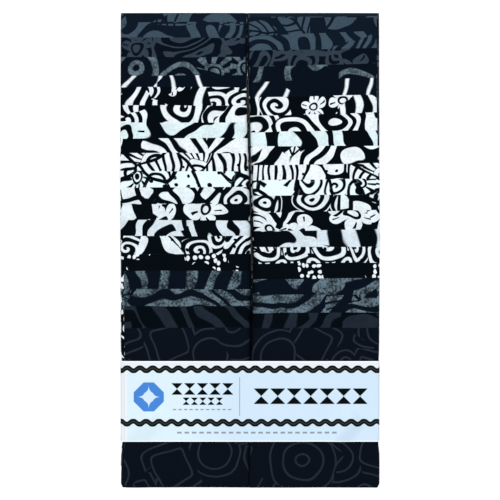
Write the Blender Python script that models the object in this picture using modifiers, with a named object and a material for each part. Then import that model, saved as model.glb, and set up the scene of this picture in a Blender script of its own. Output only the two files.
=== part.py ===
"""Folded pack of fabric strips: two columns of twenty shingled strips in a paper band.

The pack lies on its back. +Z is its front face's side, +Y its upper end, and the origin is at the
bottom centre of its box. A place on the pack is given as (across, down, depth) in millimetres:
across from a column's outer edge towards the centre gap, down from the pack's upper end, and
depth below its front face. Every strip of a column follows the same back-and-forth section, one
layer pitch inside the next, so neighbours stay parallel round each fold.
"""

from collections import namedtuple

import bmesh
import bpy
import numpy as np

MM = 0.001
COLLECTION = "fabric_strip_pack"

# Cloth as cut and the pack's plan, in millimetres
STRIP_WIDTH = 63.5
STRIP_COUNT = 20
ROW_STEP = 6.57  # mean step down the pack from one strip's upper edge to the next
PACK_WIDTH = 102.8
PACK_LENGTH = 188.6
CENTRE_GAP = 1.3

# The folded section: three plies of the whole shingled stack
PLIES = 3
SHEET = 1.0
LAYER_PITCH = 1.34
END_PITCH = 1.75  # looser where the stack thins towards its ends and its layers slope
LEAD = 3.3  # most that a strip's upper edge lies above its even row
LAG = 2.0  # most that it lies below
END_THICKNESS = 16.0
END_SWELL = 0.75  # below 1, so that the thickness rounds off into the ends
CROWN = 0.04  # a column's middle is this share thicker than its edges
FOLD_CHAMFER = 2.6  # longest corner cut of a fold's squarish nose
CHAMFER_SHARE = 0.5858  # corner cut over fold radius, which makes a half octagon
SECTION_POINTS = 13

# The right column's rows rise towards its outer edge, most at the upper end and in the front ply
RIGHT_TILT = 0.040
TILT_END = 121.53
FRONT_SHARE = 0.35
TILT_FADE = 0.40
FIRST_SLIP = 1.8  # the front ply of its first strip lies this far down from the plies behind it
SLIP_END = 22.0

# Paper band
BAND_TOP = 138.4
BAND_HEIGHT = 32.0
BAND_PAPER = 1.0
BAND_CLEARANCE = 0.35
BAND_CORNER = 2.2
BAND_DROP = 9.0  # fall of its front panel from its upper edge to its lower edge
BAND_CORNER_STEPS = 3

Row = namedtuple("Row", "tone left_edge left_inset right_edge right_inset")
ROWS = (
    Row("slate", 0.1, 0.0, 0.1, 1.0),
    Row("slate", 3.7, 0.0, 7.0, 1.1),
    Row("slate", 9.9, 0.1, 13.9, 1.0),
    Row("steel", 17.6, 0.0, 20.8, 0.9),
    Row("ink", 25.0, 0.0, 26.8, 1.0),
    Row("ink_white", 29.7, 0.1, 33.2, 1.1),
    Row("ink_white", 36.9, 0.0, 40.4, 0.9),
    Row("pale", 43.7, 0.0, 47.2, 0.8),
    Row("pale", 50.0, 0.1, 53.1, 0.2),
    Row("pale", 55.9, 0.0, 60.3, 0.1),
    Row("pale", 63.0, 0.0, 66.3, 0.0),
    Row("ink_white", 69.4, 0.2, 72.6, 0.1),
    Row("ink_white", 76.1, 0.1, 79.0, 0.0),
    Row("ink_white", 82.5, 0.0, 86.4, 0.1),
    Row("pale", 88.7, 0.2, 93.1, 0.0),
    Row("ink", 95.9, 1.3, 99.5, 0.1),
    Row("slate", 102.6, 1.4, 105.6, 0.0),
    Row("steel", 109.8, 0.3, 111.9, 0.1),
    Row("ink", 116.5, 1.4, 119.2, 0.2),
    Row("ink", 124.8, 1.4, 125.1, 0.2),
)

# The pack's plan at each station down it: the gap's place across the pack, the inward squeeze of
# its outer edges, and the lift of its underside onto the band
Station = namedtuple("Station", "down gap_centre squeeze lift")
STATIONS = (
    Station(0.0, -1.3, 0.2, 0.0),
    Station(22.0, -1.1, 0.0, 0.0),
    Station(44.0, -0.6, 0.0, 0.0),
    Station(65.5, 0.1, 0.0, 0.0),
    Station(93.5, 0.9, 0.0, 0.0),
    Station(121.53, 0.5, 0.2, 0.0),
    Station(134.0, 0.3, 1.5, 1.4),
    Station(174.0, -0.3, 1.5, 1.4),
    Station(189.0, -0.3, 0.4, 0.3),
)

# Mean colour of each tone of print, and the finish of cloth and paper
TONES = {
    "slate": (0.030, 0.042, 0.056),
    "steel": (0.070, 0.095, 0.115),
    "ink": (0.006, 0.008, 0.013),
    "ink_white": (0.300, 0.330, 0.345),
    "pale": (0.560, 0.610, 0.630),
}
PAPER_COLOUR = (0.78, 0.85, 0.95)
CLOTH_ROUGHNESS = 0.85
PAPER_ROUGHNESS = 0.55


def row_at_top(down):
    """The number of the topmost row in the stack, not below any strip's own number."""
    return np.clip(1 + (down + LEAD) / ROW_STEP, 1, STRIP_COUNT)


def row_at_bottom(down):
    """The number of the lowest row in the stack, not above any strip's own number."""
    return np.clip(1 + (down - STRIP_WIDTH - LAG) / ROW_STEP, 1, STRIP_COUNT)


def layers(down):
    """How many layers one ply of the shingled stack has."""
    return row_at_top(down) - row_at_bottom(down) + 1


def fullness(down):
    """0 at the pack's ends and 1 where the stack has all its layers."""
    most, least = layers(STRIP_WIDTH), layers(0.0)
    return np.clip((layers(down) - least) / (most - least), 0, 1)


def pitch(down):
    """Depth from one layer to the next."""
    return END_PITCH + (LAYER_PITCH - END_PITCH) * fullness(down)


def stack_depth(down):
    """Depth of the whole shingled stack in one ply."""
    return pitch(down) * layers(down)


def thickness(down):
    """The pack's thickness: closed plies in its middle, and looser plies towards its ends."""
    full = PLIES * stack_depth(STRIP_WIDTH)
    return END_THICKNESS + (full - END_THICKNESS) * fullness(down) ** END_SWELL


def plan(down, field):
    """A column of the STATIONS table, read at a distance down the pack."""
    return np.interp(down, [s.down for s in STATIONS], [getattr(s, field) for s in STATIONS])


def column_width(down, side):
    """From a column's outer edge to its edge at the centre gap; side is -1 left, +1 right."""
    return PACK_WIDTH / 2 - side * plan(down, "gap_centre") - CENTRE_GAP / 2


def front_shift(across, down, depth, side):
    """How far down the pack a place slides, for the right column's tilted front rows."""
    if side < 0:
        return 0.0
    in_front = np.clip((FRONT_SHARE + TILT_FADE - depth / thickness(down)) / TILT_FADE, 0, 1)
    tilt = RIGHT_TILT * max(0.0, 1 - down / TILT_END)
    slip = FIRST_SLIP * max(0.0, 1 - down / SLIP_END)
    return in_front * (tilt * (across - column_width(down, side) / 2) + slip)


def section(row, down, side, inset):
    """A strip's back-and-forth section at one station, as (across, depth) points.

    It starts at the raw end at the column's outer edge, folds at the centre gap with the face
    outside, folds back at the outer edge with the face inside, and ends near the centre gap.
    """
    stack = stack_depth(down)
    layer = pitch(down) * (row_at_top(down) - row + 0.5)
    air = (thickness(down) - PLIES * stack) / (PLIES - 1)
    width, squeeze = column_width(down, side), plan(down, "squeeze")
    centre_wall, outer_wall = width - layer, squeeze + stack - layer
    second, third = 2 * stack + air - layer, 2 * stack + 2 * air + layer
    centre_cut = min(CHAMFER_SHARE * (stack - layer), FOLD_CHAMFER)
    outer_cut = min(CHAMFER_SHARE * layer, FOLD_CHAMFER)
    middle = width / 2
    return np.array(
        [
            (squeeze + inset, layer),
            (middle, layer),
            (centre_wall - centre_cut, layer),
            (centre_wall, layer + centre_cut),
            (centre_wall, second - centre_cut),
            (centre_wall - centre_cut, second),
            (middle, second),
            (outer_wall + outer_cut, second),
            (outer_wall, second + outer_cut),
            (outer_wall, third - outer_cut),
            (outer_wall + outer_cut, third),
            (middle, third),
            (width - LAYER_PITCH, third),
        ]
    )


def place(across, down, depth, side):
    """A place on the pack as (x, y, z) in metres."""
    half = column_width(down, side) / 2
    crown = 1 + CROWN * (1 - ((across - half) / half) ** 2)
    seat = (pitch(down) - SHEET) / 2
    return (
        side * (PACK_WIDTH / 2 - across) * MM,
        (PACK_LENGTH / 2 - down - front_shift(across, down, depth, side)) * MM,
        (plan(down, "lift") + (thickness(down) - depth) * crown - seat) * MM,
    )


def strip_stations(row, side, edge, inset):
    """The strip's section, placed at its two long edges and at the pack's stations between them.

    What lies between two stations is read on straight lines, so that all layers share one shape.
    """
    known = [s.down for s in STATIONS]
    shapes = np.array(
        [
            [place(across, down, depth, side) for across, depth in section(row, down, side, inset)]
            for down in known
        ]
    )
    ends = (edge, edge + STRIP_WIDTH)
    placed = []
    for down in (ends[0], *(d for d in known if ends[0] < d < ends[1]), ends[1]):
        after = int(np.clip(np.searchsorted(known, down, side="right"), 1, len(known) - 1))
        share = (down - known[after - 1]) / (known[after] - known[after - 1])
        placed.append(shapes[after - 1] * (1 - share) + shapes[after] * share)
    return placed


def mapped_grid(bm, columns, rows, at):
    """A grid primitive with each of its points moved to at(column, row)."""
    bmesh.ops.create_grid(bm, x_segments=columns - 1, y_segments=rows - 1, size=0.5)
    for vertex in bm.verts:
        column = round((vertex.co.x + 0.5) * (columns - 1))
        row = round((vertex.co.y + 0.5) * (rows - 1))
        vertex.co = at(column, row)


def material(name, colour, roughness):
    """A plain material of the piece's own colour."""
    made = bpy.data.materials.new(name)
    made.use_nodes = True
    shader = made.node_tree.nodes["Principled BSDF"]
    shader.inputs["Base Color"].default_value = (*colour, 1.0)
    shader.inputs["Roughness"].default_value = roughness
    shader.inputs["Metallic"].default_value = 0.0
    return made


def sheet_object(name, bm, collection, sheet, finish):
    """An object of one open surface, given the sheet's thickness by Solidify."""
    mesh = bpy.data.meshes.new(name)
    bm.to_mesh(mesh)
    bm.free()
    piece = bpy.data.objects.new(name, mesh)
    collection.objects.link(piece)
    mesh.materials.append(finish)
    solid = piece.modifiers.new("sheet", "SOLIDIFY")
    solid.thickness = sheet * MM
    solid.offset = 0.0
    solid.use_even_offset = True
    solid.use_quality_normals = True
    return piece


def make_strip(collection, side, number, row, edge, inset):
    """One strip of a column, folded over its whole length."""
    name = f"{'left' if side < 0 else 'right'}_strip_{number:02d}"
    placed = strip_stations(number, side, edge, inset)
    bm = bmesh.new()
    mapped_grid(bm, SECTION_POINTS, len(placed), lambda column, station: placed[station][column])
    finish = material(f"{name}_cloth", TONES[row.tone], CLOTH_ROUGHNESS)
    return sheet_object(name, bm, collection, SHEET, finish)


def band_profile(height):
    """The band's middle line across the pack, as (x, z) points counterclockwise from the right."""
    half_paper = BAND_PAPER / 2
    squeeze = plan(BAND_TOP, "squeeze")
    right = PACK_WIDTH / 2 - squeeze + BAND_CLEARANCE + half_paper
    radius = BAND_CORNER + half_paper
    corners = (
        (right - radius, height - radius, 0),
        (-right + radius, height - radius, 90),
        (-right + radius, half_paper + radius, 180),
        (right - radius, half_paper + radius, 270),
    )
    angles = np.linspace(0, 90, BAND_CORNER_STEPS + 1)
    points = []
    for x, z, start in corners:
        turns = np.radians(start + angles)
        points += [(x + radius * np.cos(t), z + radius * np.sin(t)) for t in turns]
    return points


def make_band(collection):
    """The paper band round both columns, a closed sleeve whose front panel follows the taper."""
    crest = plan(BAND_TOP, "lift") + thickness(BAND_TOP) * (1 + CROWN)
    upper = crest + BAND_CLEARANCE + BAND_PAPER / 2
    rings = []
    for down, height in ((BAND_TOP, upper), (BAND_TOP + BAND_HEIGHT, upper - BAND_DROP)):
        y = PACK_LENGTH / 2 - down
        rings.append([(x * MM, y * MM, z * MM) for x, z in band_profile(height)])
    count = len(rings[0])
    bm = bmesh.new()
    bmesh.ops.create_cone(bm, segments=count, radius1=1.0, radius2=1.0, depth=1.0)
    for vertex in bm.verts:
        turn = np.arctan2(vertex.co.y, vertex.co.x) / (2 * np.pi)
        ring = rings[0] if vertex.co.z > 0 else rings[1]
        vertex.co = ring[round(turn * count) % count]
    finish = material("paper_band_paper", PAPER_COLOUR, PAPER_ROUGHNESS)
    return sheet_object("paper_band", bm, collection, BAND_PAPER, finish)


def main():
    for leftover in list(bpy.data.objects):
        bpy.data.objects.remove(leftover)
    collection = bpy.data.collections.new(COLLECTION)
    bpy.context.scene.collection.children.link(collection)
    for number, row in enumerate(ROWS, start=1):
        make_strip(collection, -1, number, row, row.left_edge, row.left_inset)
        make_strip(collection, 1, number, row, row.right_edge, row.right_inset)
    make_band(collection)


main()
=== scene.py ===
"""Looks of the folded pack of fabric strips: forty printed cotton strips and their paper band.

A place on the pack is given as (across, down, depth) in millimetres: across from a column's outer
edge towards the centre gap, down from the pack's upper end, and depth below its front face. Each
strip is one sheet of its whole cut length, folded back and forth in 21 plies within the depth of
its plain solid. Its cloth map runs in metres along and across the flat strip.
"""

from __future__ import annotations

import logging
import math

from dataclasses import dataclass, field
from enum import Enum
from typing import Callable, ClassVar

import bpy
import numpy as np
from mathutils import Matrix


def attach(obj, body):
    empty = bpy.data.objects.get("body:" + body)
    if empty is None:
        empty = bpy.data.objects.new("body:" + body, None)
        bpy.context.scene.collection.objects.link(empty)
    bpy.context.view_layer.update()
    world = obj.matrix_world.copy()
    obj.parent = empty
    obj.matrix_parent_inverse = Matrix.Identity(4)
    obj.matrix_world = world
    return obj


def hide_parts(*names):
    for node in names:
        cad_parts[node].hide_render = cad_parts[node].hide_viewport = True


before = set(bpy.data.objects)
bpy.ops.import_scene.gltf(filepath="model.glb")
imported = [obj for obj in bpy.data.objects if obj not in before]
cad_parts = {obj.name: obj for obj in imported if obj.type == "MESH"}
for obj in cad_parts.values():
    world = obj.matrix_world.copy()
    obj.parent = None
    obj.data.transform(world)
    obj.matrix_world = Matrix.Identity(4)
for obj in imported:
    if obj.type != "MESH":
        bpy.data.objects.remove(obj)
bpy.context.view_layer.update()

MM = 0.001
CREASE_ANGLE = math.radians(62)  # past this angle an edge is shaded as a crease
log = logging.getLogger("strip_pack")

Colour = tuple[float, float, float]
Outline = list[tuple[float, float]]
Socket = bpy.types.NodeSocket


def eased(beyond: float, blend: float) -> float:
    """0 for a value well below 0 and the value itself well above, with an even bend between.

    Args:
        beyond: The value.
        blend: How wide the bend is.

    Returns:
        The eased value.
    """
    return blend * float(np.logaddexp(0.0, beyond / blend))


def eased_share(share: float) -> float:
    """A share from 0 to 1 that starts and ends softly."""
    kept = min(max(share, 0.0), 1.0)
    return kept * kept * (3 - 2 * kept)


def linear(red: int, green: int, blue: int) -> Colour:
    """A colour in linear light, from its parts as seen, 0 to 255.

    Args:
        red: The red part.
        green: The green part.
        blue: The blue part.

    Returns:
        The colour in linear light.
    """

    def unbent(part: int) -> float:
        """One part in linear light."""
        share = part / 255
        return share / 12.92 if share <= 0.04045 else ((share + 0.055) / 1.055) ** 2.4

    return (unbent(red), unbent(green), unbent(blue))


def placed(name: str, data: bpy.types.ID) -> bpy.types.Object:
    """A new object with this data, linked to the scene.

    Args:
        name: The object's name.
        data: Its mesh, light or camera.

    Returns:
        The object.
    """
    made = bpy.data.objects.new(name, data)
    bpy.context.scene.collection.objects.link(made)
    return made


def blank_material(name: str) -> tuple[bpy.types.Material, bpy.types.Node]:
    """A new material.

    Args:
        name: The material's name.

    Returns:
        The material and its shader.
    """
    made = bpy.data.materials.new(name)
    made.use_nodes = True
    return made, made.node_tree.nodes["Principled BSDF"]


class Side(Enum):
    """A column of the pack, by the sign of its place across."""

    LEFT = -1
    RIGHT = 1

    @property
    def label(self) -> str:
        """The word that starts its strips' names."""
        return self.name.lower()


@dataclass(frozen=True)
class Station:
    """The pack's plan at one distance down it, in millimetres.

    The gap between the columns has its centre and its width at the front. The right column's
    second fold peeks out past its front one, the outer edges are squeezed in from the full width,
    and the front lifts.
    """

    down: float
    gap_centre: float
    gap: float
    peek: float
    squeeze: float
    lift: float


@dataclass(frozen=True)
class Ripple:
    """One train of soft waves on the front, by its lengths in millimetres, phase and height."""

    across: float
    along: float
    phase: float
    height: float

    def at(self, x: np.ndarray, y: np.ndarray) -> np.ndarray:
        """How high it stands at each place."""
        return self.height * np.sin(x / self.across + y / self.along + self.phase)


@dataclass(frozen=True)
class PackShape:
    """The form that all the folded strips share, in millimetres."""

    width: float = 102.8
    length: float = 188.6
    strip_width: float = 63.5
    rows: int = 20
    row_step: float = 6.57
    plies: int = 21
    layer_pitch: float = 0.19
    sheet: float = 0.16
    centre_gap: float = 1.1
    lead: float = 3.3
    lag: float = 2.0
    bend: float = 0.5
    end_thickness: float = 16.0
    middle_thickness: float = 46.1
    end_swell: float = 0.75
    crown: float = 0.04
    last_end: float = 1.5
    fold_slack: float = 0.35
    fold_phase: float = 2.4
    side_phase: float = 0.9
    swing_middle: float = 0.5
    swings: tuple[tuple[float, float, float], ...] = ((0.3, 1.0, 19.0), (0.2, 3.1, 7.0))
    slack_growth: tuple[float, float] = (0.3, 0.25)
    gap_sway: float = 0.22
    sway_phase: float = 1.3
    sway_lengths: tuple[float, float] = (13.0, 4.1)
    gap_clear: float = 0.03
    gap_growth: float = 5.0
    seat: float = 0.03
    ripple: float = 0.16
    ripple_depth: float = 7.0
    ripples: tuple[Ripple, ...] = (
        Ripple(6.1, 11.3, 0.0, 1.0),
        Ripple(3.7, -5.2, 2.0, 0.7),
        Ripple(14.0, 3.3, 4.0, 0.5),
    )
    stations: tuple[Station, ...] = (
        Station(0.0, -1.3, 1.0, 0.0, 0.0, 0.0),
        Station(22.0, -1.1, 1.0, 0.0, 0.0, 0.0),
        Station(33.0, -0.8, 0.9, 0.3, 0.0, 0.0),
        Station(44.0, -0.6, 0.8, 0.0, 0.0, 0.0),
        Station(58.0, -0.2, 0.6, 0.1, 0.0, 0.0),
        Station(65.5, 0.1, 0.75, 0.42, 0.0, 0.0),
        Station(93.5, 0.9, 0.75, 0.45, 0.0, 0.0),
        Station(100.0, 0.8, 0.7, 0.1, 0.0, 0.0),
        Station(121.5, 0.5, 0.6, 0.15, 0.1, 0.0),
        Station(134.0, 0.3, 0.5, 0.0, 0.15, 0.55),
        Station(138.0, 0.2, 0.5, 0.0, 0.45, 0.55),
        Station(171.0, -0.3, 0.4, 0.0, 0.45, 0.55),
        Station(176.0, -0.3, 0.4, 0.0, -0.1, 0.25),
        Station(187.2, -0.3, 0.4, 0.0, -0.1, 0.0),
        Station(189.0, -0.3, 0.4, 0.0, 0.7, 0.0),
    )
    end: float = 189.0
    even_levels: int = 43
    corner_levels: tuple[float, float] = (187.2, 188.2)
    front_points: int = 27
    inner_points: int = 4
    fold_points: int = 7

    def row_at_top(self, down: float) -> float:
        """The number of the topmost row in the stack, which levels off at the last row."""
        row = 1 + (down + self.lead) / self.row_step
        return self.rows - eased(self.rows - row, self.bend)

    def row_at_bottom(self, down: float) -> float:
        """The number of the lowest row in the stack, level at first."""
        return 1 + eased((down - self.strip_width - self.lag) / self.row_step, self.bend)

    def layers(self, down: float) -> float:
        """How many layers one ply of the shingled stack has."""
        return self.row_at_top(down) - self.row_at_bottom(down) + 1

    def fullness(self, down: float) -> float:
        """0 at the pack's ends and 1 where the stack has all its layers."""
        most, least = self.layers(self.length / 2), self.layers(0.0)
        return float(np.clip((self.layers(down) - least) / (most - least), 0, 1))

    def thickness(self, down: float) -> float:
        """The pack's thickness at the edges of a column."""
        rise = self.middle_thickness - self.end_thickness
        return self.end_thickness + rise * self.fullness(down) ** self.end_swell

    def levels(self) -> np.ndarray:
        """The distances down the pack at which its sections are worked out."""
        return np.sort([*np.linspace(0.0, self.end, self.even_levels), *self.corner_levels])

    def plan(self, down: float, name: str) -> float:
        """A field of the stations, read at a distance down the pack."""
        known = [station.down for station in self.stations]
        return float(np.interp(down, known, [getattr(s, name) for s in self.stations]))

    def column_width(self, down: float, side: Side) -> float:
        """From a column's outer edge to its edge at the centre gap."""
        return self.width / 2 - side.value * self.plan(down, "gap_centre") - self.centre_gap / 2

    def slack(self, fold: int, down: float, side: Side) -> float:
        """How far a fold stays behind the column's edge; the deep ones in the gap interlock.

        Args:
            fold: The fold's number, from the front; an even one is at the gap.
            down: The distance down the pack.
            side: The column.

        Returns:
            The distance in millimetres, below 0 where the fold reaches past the edge.
        """
        phase = fold * self.fold_phase + side.value * self.side_phase
        swing = self.swing_middle
        for reach, times, length in self.swings:
            swing += reach * math.sin(times * phase + down / length)
        if fold % 2 == 1:
            first, more = self.slack_growth
            return self.fold_slack * swing * min(1.0, first + fold * more)
        front = (self.centre_gap - self.plan(down, "gap")) / 2
        if fold <= 2:
            return -front - (self.plan(down, "peek") if fold and side is Side.RIGHT else 0.0)
        long, short = self.sway_lengths
        turn = fold * self.sway_phase + down / long + math.sin(down / short)
        sway = self.gap_sway * math.sin(turn)
        reach = self.centre_gap / 2 - self.gap_clear - side.value * sway
        return -reach * min(1.0, (fold - 1) / self.gap_growth)

    def place(self, across: np.ndarray, down: float, depth: np.ndarray, side: Side) -> np.ndarray:
        """Places on the pack as (x, y, z) in metres, one row for each.

        Args:
            across: Each place's distance from the column's outer edge.
            down: Their distance down the pack.
            depth: Each place's depth below the front face.
            side: The column.

        Returns:
            The places in the shared frame.
        """
        half = self.column_width(down, side) / 2
        crown = 1 + self.crown * (1 - ((across - half) / half) ** 2)
        x = side.value * (self.width / 2 - across)
        y = np.full_like(across, self.length / 2 - down)
        wave = sum(train.at(x, y) for train in self.ripples)
        ripple = self.ripple * wave * np.exp(-depth / self.ripple_depth)
        rise = (self.thickness(down) - depth) * crown
        z = self.seat + self.plan(down, "lift") + rise + ripple
        return np.column_stack((x, y, z)) * MM

    def section(
        self, number: int, down: float, side: Side, inset: float
    ) -> tuple[np.ndarray, np.ndarray, np.ndarray]:
        """A strip's back-and-forth section at one station.

        Args:
            number: The strip's row.
            down: The station.
            side: The strip's column.
            inset: How far its raw end stays behind the column's outer edge.

        Returns:
            For each point its distance across, its depth, and its ply, where a half means a fold.
        """
        stack = self.layer_pitch * self.layers(down)
        layer = self.layer_pitch * (self.row_at_top(down) - number + 0.5)
        air = (self.thickness(down) - self.plies * stack) / (self.plies - 1)
        width, squeeze = self.column_width(down, side), self.plan(down, "squeeze")
        across: list[np.ndarray] = []
        depth: list[np.ndarray] = []
        plies: list[np.ndarray] = []
        here = squeeze + inset
        turns = np.linspace(0, math.pi, self.fold_points)[1:-1]
        last = self.plies - 1
        for ply in range(self.plies):
            even = ply % 2 == 0
            level = ply * (stack + air) + (layer if even else stack - layer)
            radius = (stack - layer if even else layer) + air / 2
            slack = self.slack(ply, down, side)
            if ply == last:
                there = width - self.last_end
            elif even:
                there = width - stack - air / 2 - slack
            else:
                there = squeeze + stack + air / 2 + slack
            count = self.front_points if ply == 0 else self.inner_points
            across.append(np.linspace(here, there, count))
            depth.append(np.full(count, level))
            plies.append(np.full(count, float(ply)))
            here = there
            if ply < last:
                way = 1 if even else -1
                across.append(there + way * radius * np.sin(turns))
                depth.append(level + radius * (1 - np.cos(turns)))
                plies.append(np.full(len(turns), ply + 0.5))
        return np.concatenate(across), np.concatenate(depth), np.concatenate(plies)

    def front_height(self, down: float) -> float:
        """The height of the front face's crest."""
        return self.plan(down, "lift") + self.thickness(down) * (1 + self.crown)


class Surface(Enum):
    """Which surface of a sheet a face belongs to."""

    FACE = "face side"
    BACK = "back side"
    EDGE = "cut edge"


class Sheet:
    """A thin closed mesh round a grid of points on its middle surface."""

    def __init__(self, name: str, points: np.ndarray, sheet: float, flip: bool) -> None:
        """Keeps the grid.

        Args:
            name: The piece's name.
            points: Places in metres, as rows of columns.
            sheet: The sheet's thickness in metres.
            flip: Whether its face side is the other one.
        """
        self.name = name
        self.points = points
        self.sheet = sheet
        self.flip = flip
        self.rows, self.columns = points.shape[:2]

    def shells(self) -> np.ndarray:
        """The face side's points and then the back side's.

        Returns:
            The points as one row each, in metres.
        """
        normal = np.cross(np.gradient(self.points, axis=0), np.gradient(self.points, axis=1))
        normal /= np.linalg.norm(normal, axis=2, keepdims=True)
        offset = normal * (-self.sheet / 2 if self.flip else self.sheet / 2)
        face, back = self.points + offset, self.points - offset
        return np.concatenate((face.reshape(-1, 3), back.reshape(-1, 3)))

    def faces(self) -> tuple[list[tuple[int, ...]], list[tuple[int, int, Surface]]]:
        """Its quads, and for each its row, its column and its surface.

        Returns:
            The quads' corners, and the tags in the same order.
        """
        back = self.rows * self.columns
        last, wide = self.rows - 1, self.columns - 1

        def at(row: int, column: int) -> int:
            """The number of a point on the face side."""
            return row * self.columns + column

        quads: list[tuple[int, ...]] = []
        tags: list[tuple[int, int, Surface]] = []

        def add(quad: tuple[int, ...], row: int, column: int, surface: Surface) -> None:
            """Adds a quad with its tag."""
            quads.append(quad[::-1] if self.flip else quad)
            tags.append((row, column, surface))

        def rim(start: int, end: int, row: int, column: int) -> None:
            """Adds a quad of the cut edge between two points and those behind them."""
            add((start, end, end + back, start + back), row, column, Surface.EDGE)

        for row in range(last):
            for column in range(wide):
                near, far = at(row, column), at(row + 1, column)
                quad = (near, far, far + 1, near + 1)
                add(quad, row, column, Surface.FACE)
                turned = tuple(corner + back for corner in reversed(quad))
                add(turned, row, column, Surface.BACK)
        for column in range(wide):
            rim(at(0, column), at(0, column + 1), 0, column)
            rim(at(last, column + 1), at(last, column), last - 1, column)
        for row in range(last):
            rim(at(row + 1, 0), at(row, 0), row, 0)
            rim(at(row, wide), at(row + 1, wide), row, wide - 1)
        return quads, tags

    def build(
        self,
        maps: np.ndarray,
        wears: Callable[[int, int, Surface], int],
        finishes: list[bpy.types.Material],
    ) -> bpy.types.Object:
        """Makes the object.

        Args:
            maps: The flat map's coordinates at each point, in metres.
            wears: The material slot of a face by its row, column and surface.
            finishes: The materials in the order of their slots.

        Returns:
            The new piece, linked to the scene.
        """
        quads, tags = self.faces()
        mesh = bpy.data.meshes.new(self.name)
        mesh.from_pydata(self.shells().tolist(), [], quads)
        for finish in finishes:
            mesh.materials.append(finish)
        mesh.polygons.foreach_set("material_index", [wears(*tag) for tag in tags])
        layer = mesh.uv_layers.new(name="cloth")
        corners = np.empty(len(mesh.loops), dtype=np.int32)
        mesh.loops.foreach_get("vertex_index", corners)
        flat = maps.reshape(-1, 2)
        layer.data.foreach_set("uv", flat[corners % len(flat)].ravel().astype(np.float32))
        mesh.polygons.foreach_set("use_smooth", [True] * len(mesh.polygons))
        mesh.set_sharp_from_angle(angle=CREASE_ANGLE)
        return placed(self.name, mesh)


class Wire:
    """A socket of a node tree that takes part in sums, each of which adds a Math node."""

    def __init__(self, net: Net, socket: Socket) -> None:
        """Keeps the nodes' helper and the socket that the wire comes out of."""
        self.net = net
        self.socket = socket

    def math(self, operation: str, other: Wire | float = 0.0) -> Wire:
        """The result of one Math node on this wire.

        Args:
            operation: The node's operation.
            other: Its second value.

        Returns:
            The result's wire.
        """
        node = self.net.node("ShaderNodeMath", operation=operation)
        self.net.feed(node.inputs[0], self)
        self.net.feed(node.inputs[1], other)
        return Wire(self.net, node.outputs[0])

    def __add__(self, other: Wire | float) -> Wire:
        """The sum."""
        return self.math("ADD", other)

    def __sub__(self, other: Wire | float) -> Wire:
        """The difference."""
        return self.math("SUBTRACT", other)

    def __mul__(self, other: Wire | float) -> Wire:
        """The product."""
        return self.math("MULTIPLY", other)

    def __truediv__(self, other: Wire | float) -> Wire:
        """The quotient."""
        return self.math("DIVIDE", other)

    def fract(self) -> Wire:
        """What is left over a whole number."""
        return self.math("FRACT")

    def size(self) -> Wire:
        """The value without its sign."""
        return self.math("ABSOLUTE")

    def over(self, other: Wire | float) -> Wire:
        """1 where this is more than the other, else 0."""
        return self.math("GREATER_THAN", other)

    def under(self, other: Wire | float) -> Wire:
        """1 where this is less than the other, else 0."""
        return self.math("LESS_THAN", other)

    def most(self, other: Wire | float) -> Wire:
        """The larger of the two."""
        return self.math("MAXIMUM", other)

    def inverse(self) -> Wire:
        """1 less this."""
        return self * -1.0 + 1.0

    def step(self, low: Wire | float, high: Wire | float) -> Wire:
        """A smooth step from 0 where this is low to 1 where it is high.

        Args:
            low: The value at which the step starts.
            high: The value at which it ends, which may be the lower one.

        Returns:
            The step's wire.
        """
        node = self.net.node("ShaderNodeMapRange", interpolation_type="SMOOTHSTEP")
        for name, value in (("Value", self), ("From Min", low), ("From Max", high)):
            self.net.feed(node.inputs[name], value)
        return Wire(self.net, node.outputs["Result"])

    def within(self, reach: float, soft: float) -> Wire:
        """1 where the value's size is below a reach, with an edge this soft."""
        return self.size().step(reach + soft, reach - soft)


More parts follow.
